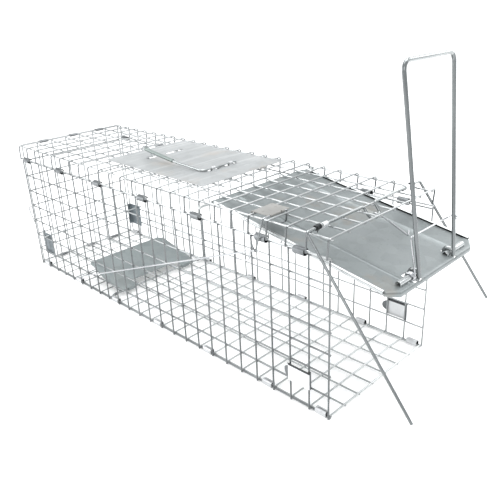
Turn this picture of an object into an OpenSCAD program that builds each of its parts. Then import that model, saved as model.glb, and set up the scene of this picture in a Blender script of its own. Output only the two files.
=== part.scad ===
// Live catch trap: welded wire cage with a drop door at the front end.
// Units are millimetres. +Z is up, the door faces -Y, the closed rear end is at +Y.
// Heights count from the surface the trap stands on.

/* [Cage mesh] */
// Spacing of the welded wires
pitch = 25.4; // [12.7:0.1:50.8]
// Wire thickness of the mesh
mesh_d = 2.0; // [1.4:0.1:3]
// Cells along the length
cells_long = 24; // [16:1:32]
// Cells across the floor
cells_wide = 7; // [5:1:11]
// Cells up the side panels
cells_high = 7; // [5:1:11]
// Half distance between the upright wires of the two side panels
side_x = 92.5; // [60:0.5:150]
// Height of the top sheet's cross wires
top_z = 202.2; // [150:0.1:300]
// Height of the long wire that ends the bent down edge of the top sheet
flange_z = 182.4; // [130:0.1:280]
// How far the side panels sit towards the door, against the top sheet
side_shift = 0.4; // [0:0.1:10]
// How far the lower ends of the top sheet's bent down edge lean to the rear
edge_lean = 1.6; // [0:0.1:4]

/* [Clips] */
// Sheet thickness of the wrapped clips
clip_t = 0.8; // [0.5:0.1:1.5]
// Length of one clip along the wire
clip_len = 14; // [8:0.5:15]
// Width of a floor clip's sleeve
floor_clip_w = 6.4; // [6.1:0.1:7]
// Height of a floor clip's sleeve
floor_clip_h = 7.6; // [4:0.1:9]
// Outer radius of a top clip's sleeve
top_clip_r = 4.2; // [3.7:0.1:4.3]

/* [Door] */
// Distance of the hinge rod behind the front end of the cage
hinge_back = 174.8; // [120:0.2:240]
// Height of the hinge rod
hinge_z = 195.5; // [140:0.1:290]
// Hinge rod thickness
hinge_d = 3; // [2:0.1:5]
// Slope of the raised door below level
door_slope = 9.8; // [0:0.1:20]
// Door length from the hinge to the centre of the rolled front edge
door_len = 229.4; // [150:0.2:300]
// Half width of the door over the centres of the rolled side edges
door_half = 79.9; // [50:0.5:130]
// Sheet thickness of the door
door_t = 0.8; // [0.5:0.1:1.5]
// Outer radius of the rolled side edges
rim_r = 2.2; // [1.5:0.1:4]
// Outer radius of the rolled front edge
hem_r = 3.2; // [2:0.1:5]

/* [Lock handle] */
// Wire thickness of the tall handle
handle_d = 4; // [3:0.1:6]
// Height of the handle above the rolled front edge of the door
handle_h = 190.4; // [100:0.2:260]
// Half spread of the handle at the top
handle_top = 42.9; // [25:0.1:60]
// Half spread of the handle at its eyes
handle_foot = 32.8; // [20:0.1:50]

/* [Spring bar] */
// Wire thickness of the spring bar
bar_d = 3; // [2:0.1:5]
// Length of the left leg
leg_left = 194; // [100:1:260]
// Length of the right leg
leg_right = 149; // [80:1:260]
// Lean of the legs from straight down, towards the front
leg_lean = 38; // [0:0.5:60]

/* [Treadle] */
// Treadle width
treadle_w = 142; // [90:1:200]
// Distance of the treadle's pivot behind the front end of the cage
treadle_back = 402.6; // [300:0.2:520]
// Treadle length behind its pivot
treadle_l = 86; // [50:1:120]
// Upward slope of the set treadle
treadle_slope = 13.5; // [5:0.5:25]

/* [Guard plate] */
// Guard plate width
guard_w = 137; // [80:1:170]
// Guard plate length
guard_l = 205; // [120:1:260]
// Sheet thickness of the guard plate
guard_t = 1; // [0.6:0.1:2]

/* [Hidden] */
$fn = 48;
eps = 0.05;
len_y = cells_long * pitch;
front = -len_y / 2;
shift_x = 0;
shift_y = 44.72;
r = mesh_d / 2;
lay = mesh_d + eps;
cells_rear = cells_high + 1;
// first wire heights: floor long wires, floor cross wires, side panel long wires
z0 = clip_t + 0.1 + r;
flange_x = side_x + lay + 0.05;
bar_y = front + 22.2;
bar_z = top_z + r + bar_d / 2 + 0.7;
lever_y = front + 79.2;
lever_z = top_z + 2.3;
lever_eye = [12.8, -36.5];
rod_x = -side_x - 6.6;
rod_rear = [463, 23.4];
// the arm's centre in the treadle's own frame
arm_in = [(rod_rear[0] - treadle_back) * cos(treadle_slope) + (rod_rear[1] - 7) * sin(treadle_slope),
          (rod_rear[1] - 7) * cos(treadle_slope) - (rod_rear[0] - treadle_back) * sin(treadle_slope)];
arm_y = front + 10 * pitch;
arm_z = top_z + r + guard_t + 0.1 + 1.7;
clip_pos = [0.42, 3.42, 7.42, 11.42, 15.42, 19.42, 23.42];
top_clip_pos = [1.42, 3.42, 7.42, 11.42, 15.42, 19.42, 23.42];

// ---------- helpers ----------

function unit(v) = v / norm(v);
// length that a bend of radius b takes off the wire on each side of point i
function bend_cut(pts, i, b) =
  b * tan(acos(unit(pts[i] - pts[i - 1]) * unit(pts[i + 1] - pts[i])) / 2);

// moves the cage centre to where the whole object is centred
module place() {
  translate([shift_x, shift_y, 0])
    children();
}

// straight wire between two points
module rod(a, b, d) {
  v = b - a;
  l = norm(v);
  translate(a)
    rotate([0, acos(v[2] / l), atan2(v[1], v[0])])
      cylinder(h = l, d = d);
}

// bent wire through a list of points, with a round bend of radius b at each inner point
module wire(pts, d, b = 3) {
  n = len(pts) - 1;
  for (i = [0:n - 1])
    rod(pts[i] + unit(pts[i + 1] - pts[i]) * (i > 0 ? bend_cut(pts, i, b) - 0.3 : 0),
        pts[i + 1] - unit(pts[i + 1] - pts[i]) * (i < n - 1 ? bend_cut(pts, i + 1, b) - 0.3 : 0), d);
  for (i = [1:n - 1])
    bend(pts, i, d * 1.03, b);
}

// one bend of a wire, turning from the direction u to the direction v
module bend(pts, i, d, b) {
  u = unit(pts[i] - pts[i - 1]);
  v = unit(pts[i + 1] - pts[i]);
  c = u * v;
  n = unit(v - c * u);
  w = cross(-n, u);
  o = pts[i] - u * bend_cut(pts, i, b) + n * b;
  multmatrix([[-n[0], u[0], w[0], o[0]], [-n[1], u[1], w[1], o[1]], [-n[2], u[2], w[2], o[2]]])
    rotate_extrude(angle = acos(c))
      translate([b, 0])
        circle(d = d);
}

module along_x(x0, x1, y, z, d) {
  rod([x0, y, z], [x1, y, z], d);
}

module along_y(x, y0, y1, z, d) {
  rod([x, y0, z], [x, y1, z], d);
}

// closed ring of round wire whose axis is X
module ring_x(x, y, z, rc, d) {
  translate([x, y, z])
    rotate([0, 90, 0])
      rotate_extrude()
        translate([rc, 0])
          circle(d = d);
}

// wrapped clip around two wires, extruded along X, with a slit at the back
module saddle(x, len, ya, za, ra, yb, zb, rb, t) {
  ang = atan2(zb - za, yb - ya);
  dist = norm([yb - ya, zb - za]);
  translate([x - len / 2, ya, za])
    rotate([90, 0, 90])
      rotate([0, 0, ang])
        linear_extrude(height = len)
          difference() {
            union() {
              circle(r = ra + t);
              translate([dist, 0])
                circle(r = rb + t);
              translate([0, -min(ra, rb) - t])
                square([dist, 2 * (min(ra, rb) + t)]);
            }
            circle(r = ra);
            translate([dist, 0])
              circle(r = rb);
          }
}

// flat bottomed sleeve that binds a side panel to the floor, running along Y
module floor_clip(side, k) {
  mid = side_x - lay - (mesh_d + 0.25) / 2;
  translate([side * mid, front + k * pitch + clip_len / 2, 0])
    rotate([90, 0, 0])
      linear_extrude(height = clip_len)
        difference() {
          translate([0, floor_clip_h / 2])
            rounded(floor_clip_w, floor_clip_h, r + 0.1 + clip_t);
          translate([0, floor_clip_h / 2])
            rounded(floor_clip_w - 2 * clip_t, floor_clip_h - 2 * clip_t, r + 0.1);
        }
}

// rectangle with rounded corners, about its centre
module rounded(w, h, c) {
  square([w, h - 2 * c], center = true);
  square([w - 2 * c, h], center = true);
  for (x = [-1, 1])
    for (y = [-1, 1])
      translate([x * (w / 2 - c), y * (h / 2 - c)])
        circle(r = c);
}

// rolled clip that binds the bent down edge of the top to a side panel
module top_clip(side, k) {
  zc = (flange_z + z0 + cells_high * pitch) / 2;
  xc = side * (side_x - lay / 2 + 0.05);
  translate([xc, front + k * pitch + clip_len / 2, zc])
    rotate([90, 0, 0])
      difference() {
        cylinder(h = clip_len, r = top_clip_r);
        translate([0, 0, -1])
          cylinder(h = clip_len + 2, r = top_clip_r - clip_t);
        translate([side > 0 ? -5 : 2.2, -0.7, -1])
          cube([2.8, 1.4, clip_len + 2]);
      }
}

// one side panel: uprights outside, long wires inside
module side_panel(side) {
  top = z0 + cells_high * pitch;
  for (i = [0:cells_long])
    rod([side * side_x, front - side_shift + i * pitch, z0 - 0.9],
        [side * side_x, front - side_shift + i * pitch, top + 0.9], mesh_d);
  for (k = [0:cells_high])
    along_y(side * (side_x - lay), front - side_shift - 1, -front - side_shift + 1, z0 + k * pitch, mesh_d);
}

// one bent down edge of the top sheet
module flange(side) {
  for (i = [0:cells_long])
    rod([side * flange_x, front + i * pitch + edge_lean, flange_z - 1],
        [side * flange_x, front + i * pitch, top_z - r], mesh_d);
  along_y(side * (flange_x - lay), front - 1, -front + 1, flange_z, mesh_d);
}

// ---------- cage ----------

module floor_mesh() {
  color([0.74, 0.75, 0.76])
    place() {
      for (i = [0:cells_long])
        along_x(-side_x + 3.4, side_x - 3.4, front + i * pitch, z0 + lay, mesh_d);
      for (k = [1:cells_wide - 1])
        along_y((k - cells_wide / 2) * pitch, front - 1, -front + 1, z0, mesh_d);
      for (s = [-1, 1])
        along_y(s * (side_x - lay - mesh_d - 0.25), front - 1, -front + 1, z0, mesh_d);
    }
}

module side_mesh_left() {
  color([0.74, 0.75, 0.76])
    place()
      side_panel(-1);
}

module side_mesh_right() {
  color([0.74, 0.75, 0.76])
    place()
      side_panel(1);
}

module rear_mesh() {
  y = -front + lay + 0.1;
  color([0.74, 0.75, 0.76])
    place() {
      for (k = [0:cells_wide])
        rod([(k - cells_wide / 2) * pitch, y, z0 - 0.9],
            [(k - cells_wide / 2) * pitch, y, top_z + 0.9], mesh_d);
      for (k = [0:cells_rear])
        along_x(-side_x + 2, side_x - 2, y + lay, z0 + 1 + k * (top_z - z0 - 1) / cells_rear, mesh_d);
    }
}

module top_mesh() {
  color([0.76, 0.77, 0.78])
    place() {
      for (i = [0:cells_long])
        along_x(-flange_x - r, flange_x + r, front + i * pitch, top_z, mesh_d);
      for (k = [0:cells_wide])
        along_y((k - cells_wide / 2) * pitch, front - 1, -front + 1, top_z - lay, mesh_d);
    }
}

module top_flange_left() {
  color([0.76, 0.77, 0.78])
    place()
      flange(-1);
}

module top_flange_right() {
  color([0.76, 0.77, 0.78])
    place()
      flange(1);
}

module top_clips_left() {
  color([0.6, 0.61, 0.62])
    place()
      for (k = top_clip_pos)
        top_clip(-1, k);
}

module top_clips_right() {
  color([0.6, 0.61, 0.62])
    place()
      for (k = top_clip_pos)
        top_clip(1, k);
}

module floor_clips_left() {
  color([0.6, 0.61, 0.62])
    place()
      for (k = clip_pos)
        floor_clip(-1, k);
}

module floor_clips_right() {
  color([0.6, 0.61, 0.62])
    place()
      for (k = clip_pos)
        floor_clip(1, k);
}

// clips along the rear edge, binding the rear panel to the top and the floor
module rear_clips() {
  y = -front + 2 * lay + 0.1;
  color([0.6, 0.61, 0.62])
    place() {
      for (x = [-52, 2, 52])
        saddle(x, clip_len, -front, top_z, r + 0.1, y, top_z, r + 0.1, clip_t);
      for (x = [-52, 2, 52])
        saddle(x, clip_len, -front, z0 + lay, r + 0.1, y, z0 + 1, r + 0.1, clip_t);
    }
}

// low stay across the rear end with two small rings on it
module rear_stay_rod() {
  y = front + 577.2;
  z = 57;
  color([0.72, 0.73, 0.75])
    place() {
      along_x(-side_x - 2.5, side_x + 2.5, y, z, 2.5);
      for (x = [-60, 38])
        difference() {
          translate([x - 2.5, y, z])
            rotate([0, 90, 0])
              cylinder(h = 5, r = 2.4);
          translate([x - 3, y, z])
            rotate([0, 90, 0])
              cylinder(h = 6, r = 1.2);
        }
    }
}

module rear_plate(side) {
  difference() {
    union() {
      translate([side * 87.7 - 0.4, front + 571, 22])
        cube([0.8, 30, 38]);
      translate([side > 0 ? 82.2 : -88, front + 600.2, 24])
        cube([5.8, 0.8, 34]);
    }
    translate([side * 87.7 - 2, front + 577.2, 57])
      rotate([0, 90, 0])
        cylinder(h = 4, r = 1.35);
  }
}

module rear_plate_left() {
  color([0.66, 0.68, 0.69])
    place()
      rear_plate(-1);
}

module rear_plate_right() {
  color([0.66, 0.68, 0.69])
    place()
      rear_plate(1);
}

// wire loop that hooks the rear panel round the left rear corner
module rear_hook() {
  color([0.74, 0.75, 0.76])
    place()
      wire([[-side_x - 2.4, front + 598, 107.2], [-side_x - 2.4, front + 619, 99],
            [-side_x - 2.4, front + 604.6, 74]], 1.8);
}

module guard_plate() {
  x0 = 9 - guard_w / 2;
  guard_y = 211;
  guard_z = top_z + r + 0.1;
  color([0.8, 0.81, 0.81])
    place()
      difference() {
        union() {
          translate([x0, front + guard_y, guard_z])
            cube([guard_w, guard_l, guard_t]);
          // tabs that turn down behind the cross wire at the front edge
          for (x = [x0 + 34, x0 + 96])
                translate([x, front + guard_y, guard_z - 2])
              cube([14, guard_t, 2.4]);
        }
        for (x = [-4.5, 25.5])
          translate([x - 9.5, arm_y - 4, top_z])
            cube([19, 8, 4]);
        for (x = [-12.5, 25.5])
          translate([x - (x < 0 ? 10 : 15), front + 366.5, top_z])
            cube([x < 0 ? 20 : 30, 7, 4]);
      }
}

// staples that hold the carry handle down through the guard plate's front slots
module handle_staples() {
  color([0.6, 0.61, 0.62])
    place()
      for (x = [-4.5, 25.5])
        saddle(x, 6, arm_y, top_z, r + 0.1, arm_y, arm_z, 1.57, clip_t);
}

module carry_handle() {
  color([0.75, 0.76, 0.77])
    place() {
      wire([[36, arm_y, arm_z], [-22.4, arm_y, arm_z], [-22.4, front + 305, 208.6],
            [-22.4, front + 380, 218.3], [-12.5, front + 380, 218.3],
            [-12.5, front + 370, 204]], 3, 4);
    }
}

// thicker sleeve on the rear part of the carry handle
module carry_grip() {
  a = [-22.4, front + 312, 208.6 + 7 * 9.4 / 73];
  b = [-22.4, front + 372, 208.6 + 67 * 9.4 / 73];
  color([0.62, 0.65, 0.65])
    place()
      difference() {
        rod(a, b, 5.2);
        rod(a + (a - b), b + (b - a), 3.1);
      }
}

// ---------- door ----------

// moves children from the door's own frame: x across, y along the door from the hinge, z off its face
module on_door() {
  translate([0, front + hinge_back, hinge_z])
    rotate([door_slope, 0, 0])
      mirror([0, 1, 0])
        children();
}

module hinge_rod() {
  color([0.72, 0.73, 0.75])
    place() {
      along_x(-side_x - 4.6, side_x + 4.6, front + hinge_back, hinge_z, hinge_d);
      for (s = [-1, 1])
        translate([s * (side_x + 4.2) - 0.5, front + hinge_back, hinge_z])
          rotate([0, 90, 0])
            cylinder(h = 1, r = 2.6);
    }
}

module door_panel() {
  color([0.6, 0.63, 0.64])
    place()
      on_door()
        difference() {
          union() {
            door_sheet();
            rolled_front();
          }
          // hollow of the rolled front edge
          for (x = [-61, 25])
            translate([x, door_len, 4.6])
              rotate([0, 90, 0])
                cylinder(h = 36, r = hem_r - 0.8);
        }
}

// door sheet with its hinge barrel, rolled side edges and front lip
module door_sheet() {
  fold = 45.7;
  roll = hinge_d / 2 + 0.06;
  difference() {
    union() {
      // rolled hinge barrel
      translate([-door_half + 2, 0, 0])
        rotate([0, 90, 0])
          cylinder(h = 2 * door_half - 4, r = roll + 1.3);
      // raised middle
      translate([-fold, 0, 2.1])
        cube([2 * fold, door_len + 6.4, door_t]);
      for (s = [-1, 1]) {
        side_strip(s, fold);
        // rolled side edge
        translate([s * door_half, 6, 3.4])
          rotate([-90, 0, 0])
            cylinder(h = door_len - 8, r = rim_r);
      }
      // front lip
      translate([-64, door_len + 5.6, -2.6])
        cube([128, door_t, 5.5]);
    }
    // hinge bore
    translate([-100, 0, 0])
      rotate([0, 90, 0])
        cylinder(h = 200, r = roll);
    // hollow of the rolled side edges
    for (s = [-1, 1])
      translate([s * door_half, 5, 3.4])
        rotate([-90, 0, 0])
          cylinder(h = door_len, r = rim_r - 0.8);
    // gaps for the eyes of the lock handle and the coil of its spring
    translate([-43.4, door_len - 9.5, -6])
      cube([13.2, 25, 16]);
    translate([30, door_len - 9.5, -6])
      cube([5.6, 25, 16]);
  }
}

// side strip of the door, rising to the rolled edge, with a cut front corner
module side_strip(s, fold) {
  intersection() {
    translate([0, 5, 0])
      rotate([-90, 0, 0])
        linear_extrude(height = door_len + 2)
          polygon([[s * (fold - 0.5), -2.9], [s * (fold - 0.5), -2.1],
                   [s * door_half, -3.1], [s * door_half, -3.9]]);
    linear_extrude(height = 8)
      polygon([[s * 40, 0], [s * (door_half + 1), 0], [s * (door_half + 1), door_len - 3],
               [s * 66, door_len + 6.4], [s * 40, door_len + 6.4]]);
  }
}

// rolled front edge of the door, one length at each foot of the lock handle
module rolled_front() {
  for (x = [-60, 26])
    translate([x, door_len, 4.6])
      rotate([0, 90, 0])
        cylinder(h = 34, r = hem_r);
}

// centre of the door's rolled front edge in cage coordinates
function hem_y() = front + hinge_back - door_len * cos(door_slope) - 4.6 * sin(door_slope);
function hem_z() = hinge_z - door_len * sin(door_slope) + 4.6 * cos(door_slope);

module lock_handle() {
  rc = hem_r + 0.1 + handle_d / 2;
  y = hem_y();
  z = hem_z();
  color([0.6, 0.64, 0.64])
    place() {
      for (s = [-1, 1])
        ring_x(s * handle_foot, y, z, rc - 0.17, handle_d - 0.3);
      wire([[-handle_foot, y - rc - 0.1, z - 1], [-handle_top, y - rc + 23.3, z + handle_h],
            [handle_top, y - rc + 23.3, z + handle_h], [handle_foot, y - rc - 0.1, z - 1]],
           handle_d, 8);
    }
}

module handle_spring() {
  d = 1.8;
  rc = hem_r + 0.1 + d / 2;
  y = hem_y();
  z = hem_z();
  color([0.78, 0.79, 0.8])
    place() {
      for (i = [0:2])
        ring_x(-41.3 + i * 1.9, y, z, rc, d + 0.12);
      wire([[-37.5, y - rc - 0.2, z - 0.6], [-37, front - 48.6, 198.6], [38.4, front - 48.6, 198],
            [38.4, front - 57.2, 198.6], [31, front - 57.2, 199]], d, 2.5);
    }
}

// ---------- spring bar ----------

// direction of a leg: x outwards is 0, y and z by its lean
function leg_tip(l) = [-l * sin(leg_lean), -l * cos(leg_lean)];

module bar_clips() {
  color([0.56, 0.58, 0.59])
    place()
      for (x = [-72, 72])
        saddle(x, 7, front + pitch, top_z, r + 0.1, bar_y, bar_z, bar_d / 2 + 0.08, clip_t);
}

module torsion_springs() {
  color([0.5, 0.52, 0.53])
    place()
      for (x = [-85.6, 79.1])
        for (i = [0:5])
          ring_x(x + i * 1.3, bar_y, bar_z, bar_d / 2 + 0.85, 1.2);
}

module spring_bar() {
  xl = -side_x - 6.6;
  xr = side_x + 6.6;
  tl = leg_tip(leg_left);
  tr = leg_tip(leg_right);
  cy = bar_y - 8.2;
  cz = bar_z - 10.8;
  color([0.66, 0.68, 0.69])
    place()
      wire([[xl, bar_y + tl[0], bar_z + tl[1]], [xl, bar_y, bar_z],
            [-9.5, bar_y, bar_z], [-9.5, cy, cz], [9.5, cy, cz], [9.5, bar_y, bar_z],
            [xr, bar_y, bar_z], [xr, bar_y + tr[0], bar_z + tr[1]]], bar_d, 3.5);
}

// thin rod from the crank of the spring bar to the corner of the handle spring
module pull_rod() {
  cy = bar_y - 8.2;
  cz = bar_z - 10.8;
  color([0.78, 0.79, 0.8])
    place() {
      ring_x(0.9, cy, cz, bar_d / 2 + 0.1 + 1, 2);
      wire([[0.9, cy - 1.9, cz], [0.9, cy - 9, cz + 0.3], [-32.5, front - 43.5, 197.4],
            [-32.5, front - 43.5, 203]], 1.8, 2.5);
    }
}

// ---------- catch plates ----------

// bent plate round the second and third uprights of a side panel
module catch_plate(side) {
  y0 = front - side_shift + pitch;
  y1 = y0 + pitch;
  h = 22;
  z = 27;
  xo = side_x + r + 0.1;
  color([0.8, 0.81, 0.82])
    place() {
      translate([side > 0 ? xo : -xo - 0.8, y0 - 2.2, z])
        cube([0.8, pitch + 4.4, h]);
      translate([side > 0 ? xo - 1.9 : -xo - 0.8, y0 - 2.2, z])
        cube([2.7, 0.8, h]);
      translate([side > 0 ? xo : -xo - 1.8, y0 - 2.2, z + h - 0.8])
        cube([1.8, pitch + 4.4, 0.8]);
      // rounded tab behind the rear upright
      translate([side > 0 ? xo + 0.05 : -xo - 0.75, y1 + 1.8, z + 11])
        rotate([0, 90, 0])
          cylinder(h = 0.7, r = 6.4);
    }
}

module catch_plate_left() {
  catch_plate(-1);
}

module catch_plate_right() {
  catch_plate(1);
}

// ---------- trigger ----------

module lever_bracket() {
  z = top_z + r + 0.1;
  color([0.82, 0.82, 0.81])
    place() {
      translate([-86, lever_y + 2.6, z])
        cube([31, 24.7, 0.8]);
      translate([-86, lever_y + 1.1, z])
        cube([20.6, 1.6, 0.8]);
      translate([-86, front + 105.7, top_z - 0.9])
        cube([31, 0.8, 2.6]);
      // rolled barrel in two lengths that holds the lever
      for (b = [[-86, 15], [-70, 4.6]])
        difference() {
          translate([b[0], lever_y, lever_z])
            rotate([0, 90, 0])
              cylinder(h = b[1], r = 1.7);
          translate([b[0] - 1, lever_y, lever_z])
            rotate([0, 90, 0])
              cylinder(h = b[1] + 2, r = 0.96);
        }
    }
}

module trigger_lever() {
  d = 1.8;
  ax = -side_x - 4.5;
  ey = lever_y + lever_eye[0];
  ez = lever_z + lever_eye[1];
  color([0.74, 0.75, 0.77])
    place() {
      wire([[ax, ey - 0.8, ez + 2.4], [ax, lever_y, lever_z], [-61, lever_y, lever_z],
            [-61, lever_y + 1.4, lever_z - 13], [-61, lever_y + 8, lever_z - 17]], d);
      ring_x(ax, ey, ez, 1.98, 2);
      // tail of the eye, bent back up
      rod([ax, ey + 2, ez + 1.2], [ax, ey + 5.6, ez + 13.5], d);
    }
}

module trigger_rod() {
  d = 1.8;
  fy = lever_y + lever_eye[0];
  fz = lever_z + lever_eye[1];
  ry = front + rod_rear[0];
  rz = rod_rear[1];
  color([0.72, 0.73, 0.75])
    place() {
      wire([[-side_x - 3, fy, fz], [rod_x, fy, fz], [rod_x, ry - 3.6, rz + 1.43]], d, 1.2);
      wire([[rod_x, fy + 5, fz - 2.6], [rod_x, fy + 6.5, fz - 12], [rod_x, fy + 19, fz - 16.5]], 1.5);
      ring_x(rod_x, ry, rz, 3.9, 2);
    }
}

// ---------- treadle ----------

// moves children to the treadle's own frame, origin on its pivot
module on_treadle() {
  translate([-3, front + treadle_back, 7])
    rotate([treadle_slope, 0, 0])
      children();
}

module treadle_pivot_rod() {
  color([0.72, 0.73, 0.75])
    place()
      along_x(-side_x + 4.2, side_x - 4.2, front + treadle_back, 7, 2.4);
}

module treadle_pivot_clips() {
  color([0.56, 0.58, 0.59])
    place()
      for (x = [-82, 81])
        saddle(x, 5, front + 16 * pitch, z0 + lay, r + 0.1, front + treadle_back, 7, 1.28, clip_t);
}

module treadle() {
  w = treadle_w / 2;
  color([0.52, 0.56, 0.56])
    place()
      on_treadle()
        difference() {
          union() {
            // tread with cut rear corners, its front edge set back between two wide lugs
            translate([0, 0, 3])
              linear_extrude(height = 0.8)
                polygon([[-w, 2], [-w + 4, -3], [-w + 28, -3], [-w + 28, 11], [w - 28, 11],
                         [w - 28, -3], [w - 4, -3], [w, 2], [w, treadle_l - 7],
                         [w - 8, treadle_l], [-w + 4, treadle_l], [-w, treadle_l - 4]]);
            // side flanges, deepest at mid length
            for (s = [-1, 1])
              translate([s > 0 ? w - 0.8 : -w, 0, 0])
                rotate([90, 0, 90])
                  linear_extrude(height = 0.8)
                    polygon([[-2.5, 3.5], [-2.5, -1.8], [2.5, -1.8], [38, -3],
                             [66, -0.6], [71, 3.5]]);
            // two lugs at the front that turn down round the pivot
            for (x = [-w + 12, w - 26])
              translate([x, -3, -1.9])
                cube([14, 0.8, 5.5]);
            for (x = [-w + 12, -w + 25.2, w - 26, w - 12.8])
              translate([x, -3, -1.9])
                cube([0.8, 5.5, 5.5]);
          }
          // bore for the pivot rod
          translate([-w - 5, 0, 0])
            rotate([0, 90, 0])
              cylinder(h = treadle_w + 10, r = 1.26);
          // hole for the arm in the left flange
          translate([-w - 2, arm_in[0], arm_in[1]])
            rotate([0, 90, 0])
              cylinder(h = 5, r = 1.02);
        }
}

// pin at the treadle's left edge that draws the trigger rod
module treadle_arm() {
  y = front + rod_rear[0];
  z = rod_rear[1];
  color([0.6, 0.63, 0.64])
    place()
      union() {
        along_x(-62, rod_x - 1.2, y, z, 2);
        along_x(rod_x - 1.3, rod_x - 0.5, y, z, 3.4);
        along_x(-71.8, -70.8, y, z, 2.2);
      }
}

// ---------- selection ----------

floor_mesh();
side_mesh_left();
side_mesh_right();
rear_mesh();
top_mesh();
top_flange_left();
top_flange_right();
top_clips_left();
top_clips_right();
floor_clips_left();
floor_clips_right();
rear_clips();
rear_stay_rod();
rear_plate_left();
rear_plate_right();
rear_hook();
guard_plate();
handle_staples();
carry_handle();
carry_grip();
hinge_rod();
door_panel();
lock_handle();
handle_spring();
bar_clips();
torsion_springs();
spring_bar();
pull_rod();
catch_plate_left();
catch_plate_right();
lever_bracket();
trigger_lever();
trigger_rod();
treadle_pivot_rod();
treadle_pivot_clips();
treadle();
treadle_arm();
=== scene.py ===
import math

import bpy
import numpy as np
from mathutils import Matrix, Vector, noise


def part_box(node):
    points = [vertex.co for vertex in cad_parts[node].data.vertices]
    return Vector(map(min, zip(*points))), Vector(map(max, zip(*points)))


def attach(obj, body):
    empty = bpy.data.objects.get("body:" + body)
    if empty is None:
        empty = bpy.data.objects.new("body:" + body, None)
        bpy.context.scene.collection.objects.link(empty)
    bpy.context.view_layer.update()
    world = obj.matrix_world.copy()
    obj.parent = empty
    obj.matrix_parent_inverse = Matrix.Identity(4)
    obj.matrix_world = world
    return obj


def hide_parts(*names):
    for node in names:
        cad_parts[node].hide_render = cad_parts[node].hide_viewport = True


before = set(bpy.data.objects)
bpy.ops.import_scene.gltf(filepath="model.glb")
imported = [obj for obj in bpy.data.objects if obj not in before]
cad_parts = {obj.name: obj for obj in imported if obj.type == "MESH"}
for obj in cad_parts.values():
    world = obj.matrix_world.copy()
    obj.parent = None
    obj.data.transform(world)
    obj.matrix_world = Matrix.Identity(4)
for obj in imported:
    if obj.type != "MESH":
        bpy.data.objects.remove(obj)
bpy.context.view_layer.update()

# Live catch trap. Shapes are built in millimetres: x across the cage from its middle, f behind
# the front end of the cage, z up from the surface it stands on.
LO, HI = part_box("floor_mesh")
CX = (LO.x + HI.x) * 500
CF = LO.y * 1000 + 1
LEN = (HI.y - LO.y) * 1000 - 2
PITCH = LEN / 24
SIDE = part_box("side_mesh_right")[1].x * 1000 - CX - 1
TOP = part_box("top_mesh")[1].z * 1000 - 1
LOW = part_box("floor_mesh")[0].z * 1000 + 1
R = 1.0  # radius of the mesh wire
LAY = 2.05  # distance between the axes of two wires that cross
SHEET = 0.8  # sheet of the clips, the door, the treadle and the small plates
CLIP_HALF = 7  # half length of a wrapped clip
FLANGE_Z = 182.4  # long wire at the lower end of the top panel's bent down edges
EDGE_LEAN = 1.6  # how far those edges lean to the rear
REAR_PITCH = 24.9125  # spacing of the rear panel's cross wires
FLAT_WELD, SIDE_WELD, REAR_WELD = (1.35, 1.35, 0.8), (0.8, 1.35, 1.35), (1.35, 0.8, 1.35)


def box_of(node):
    """(lowest, highest) corner of a CAD node in the millimetre frame used here."""
    a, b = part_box(node)
    o = np.array([CX, CF, 0])
    return np.array(a) * 1000 - o, np.array(b) * 1000 - o


def unit(v):
    return v / max(np.linalg.norm(v), 1e-12)


# ---------- mesh building ----------

class Shape:
    """Vertices, faces and material numbers gathered before they become one object."""

    def __init__(self):
        self.v, self.f, self.m = [], [], []

    def add(self, verts, faces, mat=0):
        n = len(self.v)
        self.v.extend([tuple(p) for p in verts])
        self.f.extend([tuple(n + i for i in q) for q in faces])
        self.m.extend([mat] * len(faces) if isinstance(mat, int) else mat)


def curve(pts, bend=3.0, seg=14.0):
    """Dense path through pts: each inner corner is a round bend, straights are cut every seg mm."""
    pts = [np.array(p, float) for p in pts]
    out = [pts[0]]
    for i in range(1, len(pts) - 1):
        u, w = unit(pts[i] - pts[i - 1]), unit(pts[i + 1] - pts[i])
        c = float(np.clip(u @ w, -1, 1))
        ang = math.acos(c)
        if ang < 0.03:
            out.append(pts[i])
            continue
        cut = bend * math.tan(ang / 2)
        n = unit(w - c * u)
        o = pts[i] - u * cut + n * bend
        steps = max(3, int(ang / 0.2))
        for s in range(steps + 1):
            a = ang * s / steps
            out.append(o - n * bend * math.cos(a) + u * bend * math.sin(a))
    out.append(pts[-1])
    dense = [out[0]]
    for a, b in zip(out, out[1:]):
        k = max(1, int(np.linalg.norm(b - a) / seg))
        dense.extend(a + (b - a) * t / k for t in range(1, k + 1))
    return np.array(dense)


def coil(x0, x1, y, z, rc, turns, start=0.0, per=16):
    """Helix about an axis along x."""
    n = max(6, int(abs(turns) * per))
    t = np.linspace(0, 1, n + 1)
    a = start + t * turns * 2 * math.pi
    return np.stack([x0 + (x1 - x0) * t, y - rc * np.cos(a), z + rc * np.sin(a)], 1)


def waver(pts, amp, seed):
    """Slight unevenness of a wire, the same at every run."""
    out = []
    for p in pts:
        at = Vector((p[0] * 0.011 + seed * 1.7, p[1] * 0.011, p[2] * 0.011 + seed * 0.9))
        q = [noise.noise(at + Vector((9.3, 4.1, 7.7)) * k) for k in range(3)]
        out.append(p + np.array(q) * amp)
    return np.array(out)


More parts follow.
